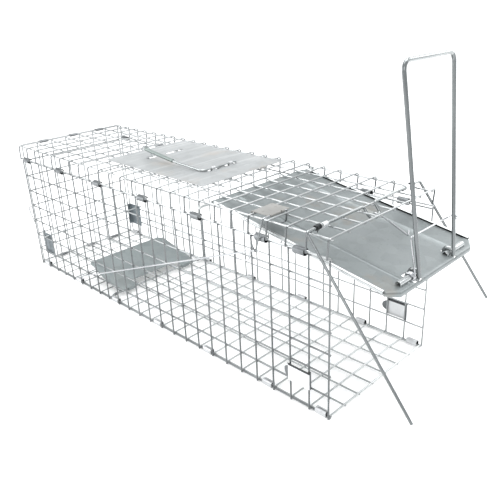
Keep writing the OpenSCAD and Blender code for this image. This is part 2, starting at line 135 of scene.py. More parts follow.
def tube(s, pts, r, n=8, mat=0, end=0.35, steep=None):
    """Round wire swept along pts, with slightly rounded cut ends.
    steep is the material of its upright lengths; a darker copy there is painted shade."""
    pts = np.array(pts, float)
    tan = np.gradient(pts, axis=0)
    tan /= np.maximum(np.linalg.norm(tan, axis=1), 1e-9)[:, None]
    rad = np.full(len(pts), float(r)) if np.isscalar(r) else np.array(r, float)
    pts = np.concatenate([[pts[0] + tan[0] * 0.02], pts[:1] + tan[:1] * end * rad[0], pts[1:-1],
                          pts[-1:] - tan[-1:] * end * rad[-1], [pts[-1] - tan[-1] * 0.02]])
    rad = np.concatenate([[rad[0] * 0.7], rad, [rad[-1] * 0.7]])
    tan = np.concatenate([tan[:1], tan, tan[-1:]])
    ref = np.array([0, 0, 1.0]) if abs(tan[0][2]) < 0.9 else np.array([0, 1.0, 0])
    u = unit(ref - tan[0] * (ref @ tan[0]))
    ang = np.arange(n) * 2 * math.pi / n
    verts, k = [], len(pts)
    for i in range(k):
        u = unit(u - tan[i] * (u @ tan[i]))
        w = np.cross(tan[i], u)
        for a in ang:
            verts.append(pts[i] + rad[i] * (math.cos(a) * u + math.sin(a) * w))
    faces, mats = [], []
    for i in range(k - 1):
        a, b = i * n, (i + 1) * n
        up = abs(tan[i][2] + tan[i + 1][2]) > 1.1
        for j in range(n):
            j2 = (j + 1) % n
            faces.append((a + j, a + j2, b + j2, b + j))
            mats.append(steep if up and steep is not None else mat)
    faces.append(tuple(range(n - 1, -1, -1)))
    faces.append(tuple((k - 1) * n + j for j in range(n)))
    mats += [mats[0], mats[-1]]
    s.add(verts, faces, mats)


def blob(s, c, size, mat=0):
    """Small zinc nugget where two wires are welded."""
    verts, faces, n = [], [], 7
    for k, (h, q) in enumerate([(-0.75, 0.62), (0.0, 1.0), (0.75, 0.62)]):
        for j in range(n):
            a = 2 * math.pi * j / n + k * 0.3
            verts.append((c[0] + size[0] * q * math.cos(a), c[1] + size[1] * q * math.sin(a),
                          c[2] + size[2] * h))
    for k in range(2):
        for j in range(n):
            a, b = k * n + j, k * n + (j + 1) % n
            faces.append((a, b, b + n, a + n))
    faces.append(tuple(range(n - 1, -1, -1)))
    faces.append(tuple(2 * n + j for j in range(n)))
    s.add(verts, faces, mat)


def strip(s, prof, t, place, l0, l1, cuts=1, mat=0, left=None, right=None):
    """Bent sheet: the 2-D line prof, t thick, carried from l0 to l1; place(u, v, l) gives the point.
    left and right are the materials of the faces on either hand of the line."""
    p = np.array(prof, float)
    d = np.gradient(p, axis=0)
    d /= np.maximum(np.linalg.norm(d, axis=1), 1e-9)[:, None]
    nrm = np.stack([-d[:, 1], d[:, 0]], 1) * t / 2
    ring = np.concatenate([p + nrm, (p - nrm)[::-1]])
    k, m = len(p), len(ring)
    verts, faces, mats = [], [], []
    for l in np.linspace(l0, l1, cuts + 1):
        verts.extend(place(q[0], q[1], l) for q in ring)
    for i in range(cuts):
        for j in range(m):
            j2 = (j + 1) % m
            faces.append((i * m + j, (i + 1) * m + j, (i + 1) * m + j2, i * m + j2))
            hand = left if j < k - 1 else right if k - 1 < j < m - 1 else None
            mats.append(mat if hand is None else hand)
    for base, flip in ((0, False), (cuts * m, True)):
        for j in range(k - 1):
            q = (base + j, base + j + 1, base + m - 2 - j, base + m - 1 - j)
            faces.append(q[::-1] if flip else q)
            mats.append(mat)
    s.add(verts, faces, mats)


def arc(cx, cy, r, a0, a1, n=8):
    """Points on an arc; angles in degrees."""
    return [(cx + r * math.cos(math.radians(a)), cy + r * math.sin(math.radians(a)))
            for a in np.linspace(a0, a1, n + 1)]


def panel(s, xs, ys, at, skip=lambda x, y: False, t=0.8, mat=0):
    """Sheet over a grid, t thick below its face: at(x, y) gives the point, skip marks the holes."""
    xs, ys = list(xs), list(ys)
    nx, ny = len(xs), len(ys)
    top = [[np.array(at(x, y), float) for x in xs] for y in ys]
    verts = [p for row in top for p in row]
    low = []
    for j in range(ny):
        for i in range(nx):
            a = top[j][min(i + 1, nx - 1)] - top[j][max(i - 1, 0)]
            b = top[min(j + 1, ny - 1)][i] - top[max(j - 1, 0)][i]
            low.append(top[j][i] - unit(np.cross(a, b)) * t)
    keep = {(i, j) for j in range(ny - 1) for i in range(nx - 1)
            if not skip((xs[i] + xs[i + 1]) / 2, (ys[j] + ys[j + 1]) / 2)}
    n, faces = nx * ny, []
    for i, j in sorted(keep):
        a, b, c, d = j * nx + i, j * nx + i + 1, (j + 1) * nx + i + 1, (j + 1) * nx + i
        faces.append((a, b, c, d))
        faces.append((d + n, c + n, b + n, a + n))
        for (p, q), other in (((b, a), (i, j - 1)), ((d, c), (i, j + 1)),
                              ((a, d), (i - 1, j)), ((c, b), (i + 1, j))):
            if other not in keep:
                faces.append((p, q, q + n, p + n))
    used = sorted({i for q in faces for i in q})
    new = {o: k for k, o in enumerate(used)}
    allv = verts + low
    s.add([allv[o] for o in used], [tuple(new[i] for i in q) for q in faces], mat)


def dome(s, c, r, h, axis=(0, 0, 1), mat=0, n=14):
    """Low round rivet head or dimple."""
    ax = unit(np.array(axis, float))
    u = unit(np.cross(ax, [1.0, 0.1, 0]))
    w = np.cross(ax, u)
    verts, faces = [], []
    for q, z in ((1.0, -0.1), (0.93, 0.45), (0.6, 0.85), (0.2, 1.0)):
        for j in range(n):
            a = 2 * math.pi * j / n
            verts.append(np.array(c) + ax * h * z + r * q * (math.cos(a) * u + math.sin(a) * w))
    for k in range(3):
        for j in range(n):
            a, b = k * n + j, k * n + (j + 1) % n
            faces.append((a, b, b + n, a + n))
    faces.append(tuple(3 * n + j for j in range(n)))
    faces.append(tuple(range(n - 1, -1, -1)))
    s.add(verts, faces, mat)


def make(name, s, body, slot, mats, *nodes, crease=38, bevel=0.0):
    """Turns a shape into an object in the row frame that rides on a body and stands for CAD nodes."""
    mesh = bpy.data.meshes.new(name)
    o = np.array([CX, CF, 0])
    mesh.from_pydata([tuple((np.array(p) + o) / 1000) for p in s.v], [], s.f)
    mesh.polygons.foreach_set("material_index", s.m)
    mesh.polygons.foreach_set("use_smooth", [True] * len(s.f))
    for m in mats:
        mesh.materials.append(m)
    mesh.validate()
    mesh.update()
    obj = bpy.data.objects.new(name, mesh)
    bpy.context.scene.collection.objects.link(obj)
    mesh.set_sharp_from_angle(angle=math.radians(crease))
    if bevel:
        b = obj.modifiers.new("edge", "BEVEL")
        b.width, b.segments, b.limit_method, b.angle_limit = bevel / 1000, 2, "ANGLE", math.radians(50)
        b.use_clamp_overlap = True
    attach(obj, body)
    if nodes:
        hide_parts(*nodes)
    return obj


# ---------- materials ----------

def zinc(name, dark, light, rough, metal=0.9, grain=260.0, spangle=0.0, stain_and_reflection=0.0,
         stain_and_reflection_tint=(0.5, 0.42, 0.33), bump=0.15, streak=0.0, scale=9.0):
    """Galvanised steel: cloudy colour, spangle, brushed streaks, warm patches (painted reflections on the
    guard and the door), uneven gloss, fine grain.
    """
    m = bpy.data.materials.new(name)
    m.use_nodes = True
    nt = m.node_tree
    bs = nt.nodes["Principled BSDF"]
    bs.inputs["Metallic"].default_value = metal
    link = nt.links.new

    def node(kind, **kw):
        n = nt.nodes.new(kind)
        for k, v in kw.items():
            setattr(n, k, v)
        return n

    def mix(a, b, fac, blend="MIX"):
        x = node("ShaderNodeMix", data_type="RGBA", blend_type=blend)
        for sock, val in ((0, fac), (6, a), (7, b)):
            if hasattr(val, "node"):
                link(val, x.inputs[sock])
            elif sock == 0:
                x.inputs[0].default_value = val
            else:
                x.inputs[sock].default_value = (*val, 1)
        return x.outputs[2]

    def ranged(src, lo, hi, a=0.0, b=1.0):
        x = node("ShaderNodeMapRange")
        for sock, val in ((1, lo), (2, hi), (3, a), (4, b)):
            x.inputs[sock].default_value = val
        link(src, x.inputs[0])
        return x.outputs[0]

    co = node("ShaderNodeTexCoord").outputs["Object"]
    cloud = node("ShaderNodeTexNoise")
    cloud.inputs["Scale"].default_value = scale
    cloud.inputs["Detail"].default_value = 5
    link(co, cloud.inputs["Vector"])
    fine = node("ShaderNodeTexNoise")
    fine.inputs["Scale"].default_value = grain
    fine.inputs["Detail"].default_value = 3
    link(co, fine.inputs["Vector"])
    col = mix(dark, light, ranged(cloud.outputs["Fac"], 0.34, 0.66))
    if spangle:
        cell = node("ShaderNodeTexVoronoi")
        cell.inputs["Scale"].default_value = 75
        link(co, cell.inputs["Vector"])
        grey = node("ShaderNodeRGBToBW")
        link(cell.outputs["Color"], grey.inputs[0])
        f = ranged(grey.outputs[0], 0.2, 0.8, 1 - spangle, 1 + spangle)
        tone = node("ShaderNodeCombineColor")
        for i in range(3):
            link(f, tone.inputs[i])
        col = mix(col, tone.outputs[0], 1.0, "MULTIPLY")
    if streak:
        mp = node("ShaderNodeMapping")
        mp.inputs["Rotation"].default_value = (0, 0, math.radians(-34))
        mp.inputs["Scale"].default_value = (2.2, 46, 30)
        link(co, mp.inputs[0])
        lines = node("ShaderNodeTexNoise")
        lines.inputs["Scale"].default_value = 3
        lines.inputs["Detail"].default_value = 4
        link(mp.outputs[0], lines.inputs["Vector"])
        col = mix(col, (0.93, 0.94, 0.94), ranged(lines.outputs["Fac"], 0.5, 0.75, 0, streak))
    # warm patches: on the guard and the door sheet they are painted reflections
    if stain_and_reflection:
        far = node("ShaderNodeTexNoise")
        far.inputs["Scale"].default_value = 16
        far.inputs["Detail"].default_value = 6
        far.inputs["Roughness"].default_value = 0.65
        link(co, far.inputs["Vector"])
        col = mix(col, stain_and_reflection_tint, ranged(far.outputs["Fac"], 0.55, 0.72, 0, stain_and_reflection))
    col = mix(col, tuple(c * 0.72 for c in dark), ranged(fine.outputs["Fac"], 0.58, 0.8, 0, 0.45))
    link(col, bs.inputs["Base Color"])
    link(ranged(cloud.outputs["Fac"], 0.3, 0.7, rough * 0.82, min(1, rough * 1.2)), bs.inputs["Roughness"])
    bp = node("ShaderNodeBump")
    bp.inputs["Strength"].default_value = bump
    bp.inputs["Distance"].default_value = 0.0004
    link(fine.outputs["Fac"], bp.inputs["Height"])
    link(bp.outputs[0], bs.inputs["Normal"])
    return m


MESH = zinc("mesh_zinc", (0.23, 0.24, 0.245), (0.33, 0.345, 0.35), 0.32, metal=0.95, grain=500, bump=0.2)
# lighter copy of the mesh zinc for the floor wires: painted light
FLOOR_WIRE_PAINTED_LIGHT = zinc("floor_wire_painted_light", (0.46, 0.48, 0.48), (0.6, 0.62, 0.62), 0.32, metal=0.95, grain=500, bump=0.2)
# darker copy of the mesh zinc for the near side's uprights and the top wires' bent down ends: painted shade
UPRIGHT_PAINTED_SHADE = zinc("upright_wire_painted_shade", (0.14, 0.15, 0.155), (0.205, 0.215, 0.22), 0.24, metal=0.75, grain=500,
               bump=0.2)
# lighter copy for the far side's and the rear panel's uprights: painted light
FAR_UPRIGHT_PAINTED_LIGHT = zinc("far_upright_painted_light", (0.25, 0.26, 0.265), (0.35, 0.365, 0.37), 0.3, metal=0.95, grain=500, bump=0.2)
WELD = zinc("weld_zinc", (0.26, 0.27, 0.28), (0.46, 0.47, 0.48), 0.45, metal=0.85, grain=700, bump=0.4)
# lighter copy of the mesh zinc for the top panel's wires: painted light
TOP_WIRE_PAINTED_LIGHT = zinc("top_wire_painted_light", (0.36, 0.375, 0.38), (0.5, 0.515, 0.52), 0.3, metal=0.95, grain=500, bump=0.2)
HEAVY = zinc("heavy_zinc", (0.34, 0.36, 0.365), (0.46, 0.48, 0.48), 0.28, metal=0.95, grain=420, bump=0.15)
# darker copy for the steep legs of the lock handle, spring bar and trigger lever: painted shade
LEG_PAINTED_SHADE = zinc("leg_wire_painted_shade", (0.15, 0.16, 0.165), (0.23, 0.245, 0.25), 0.2, metal=0.7, grain=420, bump=0.12)
SPRING = zinc("spring_zinc", (0.42, 0.43, 0.45), (0.56, 0.57, 0.58), 0.24, metal=0.97, grain=420, bump=0.12)
# near black for the insides of the clips and the door's rolled edges, the torsion coils and the catch plates'
# top lips: painted shade
PAINTED_SHADE = zinc("painted_shade_near_black", (0.035, 0.038, 0.04), (0.08, 0.084, 0.088), 0.36, metal=0.9, grain=500, bump=0.25)
CLIP = zinc("clip_zinc", (0.50, 0.51, 0.52), (0.66, 0.67, 0.68), 0.34, metal=0.8, grain=380, spangle=0.08)
# darker copy of the clip zinc for the top, rear and treadle clips and the catch plates' flanges and tabs:
# painted shade
CLIP_PAINTED_SHADE = zinc("clip_painted_shade", (0.13, 0.14, 0.145), (0.24, 0.25, 0.26), 0.4, metal=0.85, grain=380, spangle=0.08)
# the guard's warm patches are painted reflections
GUARD = zinc("guard_zinc", (0.305, 0.32, 0.325), (0.37, 0.383, 0.387), 0.42, metal=0.45, spangle=0.05,
             stain_and_reflection=0.6, stain_and_reflection_tint=(0.38, 0.335, 0.29), streak=0.22, grain=320)
BRIGHT = zinc("bright_zinc", (0.68, 0.69, 0.7), (0.8, 0.81, 0.82), 0.36, metal=0.5, spangle=0.06, grain=320)
CREAM = zinc("bracket_zinc", (0.23, 0.227, 0.217), (0.32, 0.317, 0.305), 0.42, metal=0.4, spangle=0.05,
             grain=320)
# the door's warm patches are painted reflections
DOOR = zinc("door_zinc", (0.2, 0.222, 0.225), (0.25, 0.272, 0.276), 0.42, metal=0.5, spangle=0.06, stain_and_reflection=0.6,
            stain_and_reflection_tint=(0.26, 0.215, 0.17), grain=300, scale=7)
# lighter copy of the door zinc for the outer faces of the door's rolled edges: painted highlight
ROLL_PAINTED_HIGHLIGHT = zinc("door_roll_painted_highlight", (0.46, 0.48, 0.485), (0.60, 0.62, 0.625), 0.26, metal=0.85, grain=300)
TREAD = zinc("tread_zinc", (0.205, 0.235, 0.238), (0.27, 0.3, 0.303), 0.46, metal=0.5, spangle=0.08,
             grain=300, stain_and_reflection=0.3, stain_and_reflection_tint=(0.26, 0.25, 0.23))
PLATE = zinc("plate_zinc", (0.11, 0.135, 0.15), (0.17, 0.195, 0.21), 0.45, metal=0.6, spangle=0.06, grain=300)
GRIP = zinc("grip_zinc", (0.20, 0.235, 0.225), (0.27, 0.305, 0.295), 0.4, metal=0.6, grain=340)


# ---------- cage ----------

lanes = [(k - 3.5) * PITCH for k in range(8)]
rows = [i * PITCH for i in range(25)]

# floor panel: cross wires over long wires, in a lighter copy of the mesh zinc as painted light
s = Shape()
lo, hi = box_of("floor_mesh")
inner = SIDE - LAY - 2.25
longs = [-inner] + lanes[1:-1] + [inner]
for i, f in enumerate(rows):
    tube(s, waver(curve([(lo[0], f, LOW + LAY), (hi[0], f, LOW + LAY)]), 0.22, i), R)
for i, x in enumerate(longs):
    tube(s, waver(curve([(x, lo[1], LOW), (x, hi[1], LOW)], seg=18), 0.12, 40 + i), R)
    for f in rows:
        blob(s, (x, f, LOW + 1.0), FLAT_WELD, 1)
make("floor_wires", s, "cage", "mesh_wire", [FLOOR_WIRE_PAINTED_LIGHT, WELD], "floor_mesh")

# side panels: uprights outside the long wires; the near side's uprights are a darker copy (painted shade),
# the far side's a lighter copy (painted light)
for sgn, side in ((-1, "left"), (1, "right")):
    lo, hi = box_of("side_mesh_" + side)
    s = Shape()
    shift = lo[1] + 1
    xo, xi = sgn * SIDE, sgn * (SIDE - LAY)
    ups = [shift + f for f in rows]
    for i, f in enumerate(ups):
        tube(s, waver(curve([(xo, f, lo[2]), (xo, f, hi[2])], seg=12), 0.3, 60 + i + 30 * sgn), R, mat=2)
    for k in range(8):
        z = LOW + k * PITCH
        tube(s, waver(curve([(xi, lo[1], z), (xi, hi[1], z)], seg=18), 0.25, 120 + k + 10 * sgn), R)
        for f in ups:
            blob(s, ((xo + xi) / 2, f, z), SIDE_WELD, 1)
    make("side_wires_" + side, s, "cage", "mesh_wire", [MESH, WELD, UPRIGHT_PAINTED_SHADE if sgn < 0 else FAR_UPRIGHT_PAINTED_LIGHT],
         "side_mesh_" + side)

# rear panel: uprights inside, cross wires outside; the uprights are the lighter far copy (painted light)
s = Shape()
lo, hi = box_of("rear_mesh")
fu, fc = lo[1] + 1, hi[1] - 1
for i, x in enumerate(lanes):
    tube(s, waver(curve([(x, fu, lo[2]), (x, fu, hi[2])], seg=12), 0.3, 150 + i), R, mat=2)
for k in range(9):
    z = LOW + 1.0 + REAR_PITCH * k
    tube(s, waver(curve([(lo[0], fc, z), (hi[0], fc, z)]), 0.25, 170 + k), R)
    for x in lanes:
        blob(s, (x, (fu + fc) / 2, z), REAR_WELD, 1)
make("rear_wires", s, "cage", "mesh_wire", [MESH, WELD, FAR_UPRIGHT_PAINTED_LIGHT], "rear_mesh")

# top panel: cross wires bent down at both edges, long wires under them; the bent down ends are a darker copy
# (painted shade), the rest a lighter copy (painted light)
s = Shape()
lo, hi = box_of("top_mesh")
fl, fh = box_of("top_flange_right")
xd, xl = fh[0] - 1, fl[0] + 1
for i, f in enumerate(rows):
    bent = [(-xd, f + EDGE_LEAN, fl[2]), (-xd, f, TOP), (xd, f, TOP), (xd, f + EDGE_LEAN, fl[2])]
    tube(s, waver(curve(bent, 3.2, 12), 0.28, 190 + i), R, steep=2)
for i, x in enumerate(lanes):
    tube(s, waver(curve([(x, lo[1], TOP - LAY), (x, hi[1], TOP - LAY)], seg=18), 0.25, 220 + i), R)
    for f in rows:
        blob(s, (x, f, TOP - 1.05), FLAT_WELD, 1)
for sgn in (-1, 1):
    edge = curve([(sgn * xl, fl[1], FLANGE_Z), (sgn * xl, fh[1], FLANGE_Z)], seg=18)
    tube(s, waver(edge, 0.25, 240 + sgn), R)
    for f in rows:
        blob(s, (sgn * (xl + xd) / 2, f + 1.5, FLANGE_Z), SIDE_WELD, 1)
make("top_wires", s, "cage", "mesh_wire", [TOP_WIRE_PAINTED_LIGHT, WELD, UPRIGHT_PAINTED_SHADE],
     "top_mesh", "top_flange_left", "top_flange_right")


# ---------- wrapped clips ----------

# where the clips sit, in mesh cells from the front; the first one differs above and below
CLIP_CELLS = (3.42, 7.42, 11.42, 15.42, 19.42, 23.42)


def along_f(u, v, l):
    return (u, l, v)


def along_x(u, v, l):
    return (l, u, v)


def round_box(cx, cz, w, h, c, n=4):
    """Corners of a rounded sleeve, open at the top where the sheet's ends meet."""
    out = [(cx + 0.3, cz + h / 2)]
    for sx, sz, a in ((1, 1, 90), (1, -1, 0), (-1, -1, -90), (-1, 1, -180)):
        out += arc(cx + sx * (w / 2 - c), cz + sz * (h / 2 - c), c, a, a - 90, n)
    return out + [(cx - 0.5, cz + h / 2)]


# the floor clips' inner faces are near black, and the top clips are a darker clip copy with near black inner
# faces: painted shade
for sgn, side in ((-1, "left"), (1, "right")):
    lo, hi = box_of("floor_clips_" + side)
    cx, w, h = (lo[0] + hi[0]) / 2, hi[0] - lo[0], hi[2] - lo[2]
    s = Shape()
    for k in (0.42, *CLIP_CELLS):
        tilt = 0.25 * math.sin(k * 7)
        prof = round_box(cx, lo[2] + h / 2, w - 0.8, h - 0.8, 1.7)
        prof = [(u + tilt * (v - 3) * 0.05, v) for u, v in prof]
        strip(s, prof, SHEET, along_f, k * PITCH - CLIP_HALF, k * PITCH + CLIP_HALF, right=1)
    make("floor_clips_rolled_" + side, s, "cage", "clip_steel", [CLIP, PAINTED_SHADE], "floor_clips_" + side,
         bevel=0.15)
    lo, hi = box_of("top_clips_" + side)
    cx, cz, rc = (lo[0] + hi[0]) / 2, (lo[2] + hi[2]) / 2, (hi[2] - lo[2]) / 2
    s = Shape()
    for k in (1.42, *CLIP_CELLS):
        a0 = 180 + 12 if sgn > 0 else 12
        narrow = 0.96 if k > 2 else 1
        ring = [(cx + (u - cx) * narrow, v) for u, v in arc(cx, cz, rc - 0.4, a0, a0 + 336, 22)]
        strip(s, ring, SHEET, along_f, k * PITCH - CLIP_HALF, k * PITCH + CLIP_HALF, left=1)
    make("top_clips_rolled_" + side, s, "cage", "clip_steel", [CLIP_PAINTED_SHADE, PAINTED_SHADE], "top_clips_" + side,
         bevel=0.15)


def wrap(ya, za, yb, zb, r, n=7):
    """Section of a sheet wrapped round two wires, with its seam on the first one."""
    ang = math.degrees(math.atan2(zb - za, yb - ya))
    return arc(ya, za, r, ang + 170, ang + 90, n) + arc(yb, zb, r, ang + 90, ang - 90, 2 * n) + \
        arc(ya, za, r, ang - 90, ang - 172, n)


# rear clips in the darker clip copy: painted shade
s = Shape()
for x in (-52, 2, 52):
    strip(s, wrap(LEN, TOP, LEN + 4.2, TOP, R + 0.5), SHEET, along_x, x - CLIP_HALF, x + CLIP_HALF)
    low_wrap = wrap(LEN, LOW + LAY, LEN + 4.2, LOW + 1, R + 0.5)
    strip(s, low_wrap, SHEET, along_x, x - CLIP_HALF, x + CLIP_HALF)
make("rear_clips_wrapped", s, "cage", "clip_steel", [CLIP_PAINTED_SHADE], "rear_clips", bevel=0.15)

lo, hi = box_of("torsion_springs")
BAR_F, BAR_Z = (lo[1] + hi[1]) / 2, (lo[2] + hi[2]) / 2
s = Shape()
for x in (-72, 72):
    strip(s, wrap(PITCH, TOP, BAR_F, BAR_Z, R + 0.9), 0.8, along_x, x - 3.5, x + 3.5)
make("bar_clips_wrapped", s, "cage", "clip_steel", [BRIGHT], "bar_clips", bevel=0.15)
# the torsion coils are near black: painted shade
s = Shape()
for x in (-85.6, 79.1):
    c = coil(x - 0.4, x + 6.6, BAR_F, BAR_Z, 2.35, 5.6, start=0.6)
    tail = [c[-1] + np.array([0.5, 1.5, -1.6]), c[-1] + np.array([0.8, 3.2, -5.5])]
    tube(s, np.concatenate([c, tail]), 0.6, 7)
make("torsion_coils", s, "cage", "spring_steel", [PAINTED_SHADE], "torsion_springs")

# ---------- rear end ----------

lo, hi = box_of("rear_stay_rod")
ry, rz = (lo[1] + hi[1]) / 2, (lo[2] + hi[2]) / 2
s = Shape()
tube(s, waver(curve([(lo[0], ry, rz), (hi[0], ry, rz)]), 0.2, 300), 1.25, 10)
for x in (-60, 38):
    strip(s, arc(ry, rz, 1.9, 20, 372, 18), 0.9, along_x, x - 2.5, x + 2.5)
make("rear_stay", s, "cage", "heavy_wire", [HEAVY], "rear_stay_rod")
for sgn, side in ((-1, "left"), (1, "right")):
    lo, hi = box_of("rear_plate_" + side)
    xw = sgn * 87.7
    xe = lo[0] + 0.4 if sgn > 0 else hi[0] - 0.4
    s = Shape()
    bend = [(xw - sgn * (1.8 - 1.8 * math.cos(a)), hi[1] - 2.2 + 1.8 * math.sin(a)) for a in (0.5, 1.05, 1.5)]
    prof = [(xw, lo[1]), (xw, hi[1] - 8), (xw, hi[1] - 2.2), *bend, (xe, hi[1] - 0.4)]
    strip(s, prof, SHEET, lambda u, v, l: (u, v, l), lo[2], hi[2], 4)
    make("rear_corner_plate_" + side, s, "cage", "bright_sheet", [PLATE], "rear_plate_" + side,
         bevel=0.2)
s = Shape()
hx = -SIDE - 2.4
tube(s, curve([(hx, 598, 107.2), (hx, 619, 99), (hx, 604.6, 74)], 4, 8), 0.9, 8)
make("rear_hook_wire", s, "cage", "mesh_wire", [MESH], "rear_hook")

# ---------- guard plate and carry handle ----------

lo, hi = box_of("guard_plate")
gx0, gx1, gy0, gy1, gz = lo[0], hi[0], lo[1], hi[1], hi[2]
slots = [(-14, 250, 5, 258), (16, 250, 35, 258), (-22.5, 366.5, -2.5, 373.5), (10.5, 366.5, 40.5, 373.5)]
s = Shape()


def in_slot(x, y):
    return any(a < x < c and b < y < d for a, b, c, d in slots)


def guard_at(x, y):
    sag = 0.28 * noise.noise(Vector((x * 0.02, y * 0.02, 5))) - 0.2
    at_side = 0.5 * max(0, 1 - min(abs(x - gx0), abs(x - gx1)) / 2.5)
    at_end = 0.5 * max(0, 1 - min(y - gy0, gy1 - y) / 2.5)
    return (x, y, gz + sag - (at_side + at_end))


slot_x, slot_y = [[q[k] for q in slots for k in (i, i + 2)] for i in (0, 1)]
xs = sorted({*np.linspace(gx0, gx1, 19).round(2), gx0 + 2.2, gx1 - 2.2, *slot_x})
ys = sorted({*np.linspace(gy0, gy1, 29).round(2), gy0 + 2.2, gy1 - 2.2, *slot_y})
panel(s, xs, ys, guard_at, in_slot, 0.9)
for x in (gx0 + 34, gx0 + 96):
    strip(s, [(gy0 + 3, gz - 0.9), (gy0 + 0.9, gz - 0.9), (gy0 + 0.5, gz - 1.4), (gy0 + 0.45, gz - 3.2)], 0.8,
          along_x, x, x + 14)
make("guard_sheet", s, "cage", "bright_sheet", [GUARD], "guard_plate", bevel=0.18)

ARM_F = 10 * PITCH
az = TOP + R + 1.0 + 0.1 + 1.7
s = Shape()
for x in (-4.5, 25.5):
    strip(s, wrap(ARM_F, TOP, ARM_F, az, R + 0.65), 0.8, along_x, x - 3, x + 3)
make("handle_staples_wrapped", s, "cage", "clip_steel", [CLIP], "handle_staples", bevel=0.12)
s = Shape()
hp = [(36, ARM_F, az), (-22.4, ARM_F, az), (-22.4, 305, 208.6), (-22.4, 380, 218.3), (-12.5, 380, 218.3),
      (-12.5, 370, 204)]
tube(s, waver(curve(hp, 4.2, 9), 0.2, 320), 1.5, 10)
make("carry_handle_wire", s, "carry_handle", "heavy_wire", [HEAVY], "carry_handle")
s = Shape()
a, b = np.array([-22.4, 312, 208.6 + 7 * 9.4 / 73]), np.array([-22.4, 372, 208.6 + 67 * 9.4 / 73])
d = unit(b - a)
middle = [a + (b - a) * t for t in (0.25, 0.5, 0.75)]
pts = [a, a + d * 0.5, a + d * 3, a + d * 5, *middle, b - d * 5, b - d * 3, b - d * 0.5, b]
tube(s, pts, [1.7, 2.35, 2.6, 2.45, 2.5, 2.55, 2.5, 2.45, 2.6, 2.35, 1.7], 14)
make("carry_grip_sleeve", s, "carry_handle", "door_sheet", [GRIP], "carry_grip")

# ---------- door ----------

lo, hi = box_of("hinge_rod")
HF, HZ = (lo[1] + hi[1]) / 2, (lo[2] + hi[2]) / 2
s = Shape()
ends = [lo[0], lo[0] + 0.3, lo[0] + 1.2, lo[0] + 1.3, lo[0] + 6]
xs = ends + list(np.linspace(-80, 80, 12)) + [-e for e in ends[::-1]]
rr = [2.2, 2.6, 2.6, 1.5, 1.5] + [1.5] * 12 + [1.5, 1.5, 2.6, 2.6, 2.2]
tube(s, [(x, HF, HZ) for x in xs], rr, 12)
make("hinge_wire", s, "cage", "heavy_wire", [HEAVY], "hinge_rod")

SLOPE = math.radians(9.8)
CS, SN = math.cos(SLOPE), math.sin(SLOPE)
DLEN, DHALF = 229.4, 79.9
FRONT_EDGE, CORNER, NOTCH_REAR = 237.2, 66, 221.8  # front edge, start of its cut corners, depth of the gaps


def on_door(x, y, z):
    """Door frame (y towards the front edge, z off its face) to the cage frame."""
    return np.array([x, HF - y * CS - z * SN, HZ - y * SN + z * CS])


def door_z(x):
    """Height of the door sheet's upper face across its width: two pressed folds, then a slope to the rims."""
    a = abs(x)
    pts = [(0, 2.9), (44.8, 2.9), (45.7, 3.4), (46.6, 4.0), (47.4, 3.9), (48.2, 2.6), (49.2, 2.1), (51, 2.1),
           (76, 1.9), (80, 1.9)]
    return float(np.interp(a, [p[0] for p in pts], [p[1] for p in pts]))


def door_end(x):
    a = abs(x)
    return FRONT_EDGE if a <= CORNER else FRONT_EDGE - (a - CORNER) / 13.9 * 9.6


# gaps in the sheet for the spring's coil and the handle's two feet; the lip dips behind the feet
notch = [(-43.2, -36.2), (-35.4, -30.2), (30.2, 35.4)]
half = [0, 8, 16, 24, 44.8, 45.7, 46.6, 47.4, 48.2, 49.2, 51, 58, 66, 70, 74, 78.6]
xs = sorted({*half, *[-h for h in half], *[q for n in notch for q in n]})
ys = [2.5, 8, *np.linspace(20, 205, 15).round(1), 214, NOTCH_REAR, 224, 228, 232, 234.6, 236.3, FRONT_EDGE]


def door_at(x, y):
    q = y if y < 214 else 214 + (y - 214) * (door_end(x) - 214) / 23.2
    wob = 0.35 * noise.noise(Vector((x * 0.03, y * 0.02, 2)))
    flat = min(1.0, max(0.0, (y - 4) / 10)) * min(1.0, max(0.0, (238 - y) / 14))
    z = 2.9 + (door_z(x) - 2.9) * flat + wob * flat
    if y > 234:
        z -= (y - 234) ** 2 * 0.07
    return on_door(x, q, z)


s = Shape()
panel(s, xs, ys, door_at, lambda x, y: y > NOTCH_REAR and any(a < x < b for a, b in notch), SHEET)
barrel = [(8, 2.5), (4, 2.4)] + arc(0, 0, 2.2, 62, 372, 20)
strip(s, barrel, SHEET, lambda u, v, l: on_door(l, u, v), -77.6, 77.6, 12)
dips = notch[1:]
lip = sorted({-79.6, -76, -71, -66.5, -64, -48, -24, -12, 0, 12, 24, 48, 64, 66.5, 71, 76, 79.6,
              *[q for a, b in dips for q in (a - 0.5, a, b, b + 0.5)]})


def lip_at(x, v):
    inset, z = [(1.1, 1.9), (0.35, 1.5), (0.0, 0.7), (0.0, -0.8), (0.0, -2.5)][int(v)]
    if abs(x) > CORNER and z < 0:
        z *= 1 - 0.75 * (abs(x) - CORNER) / 14
    if any(a <= x <= b for a, b in dips):
        z = min(z, 0.6 - 0.3 * v)
    return on_door(x, door_end(x) - inset, z)


panel(s, lip, [0, 1, 2, 3, 4], lip_at, t=0.75)
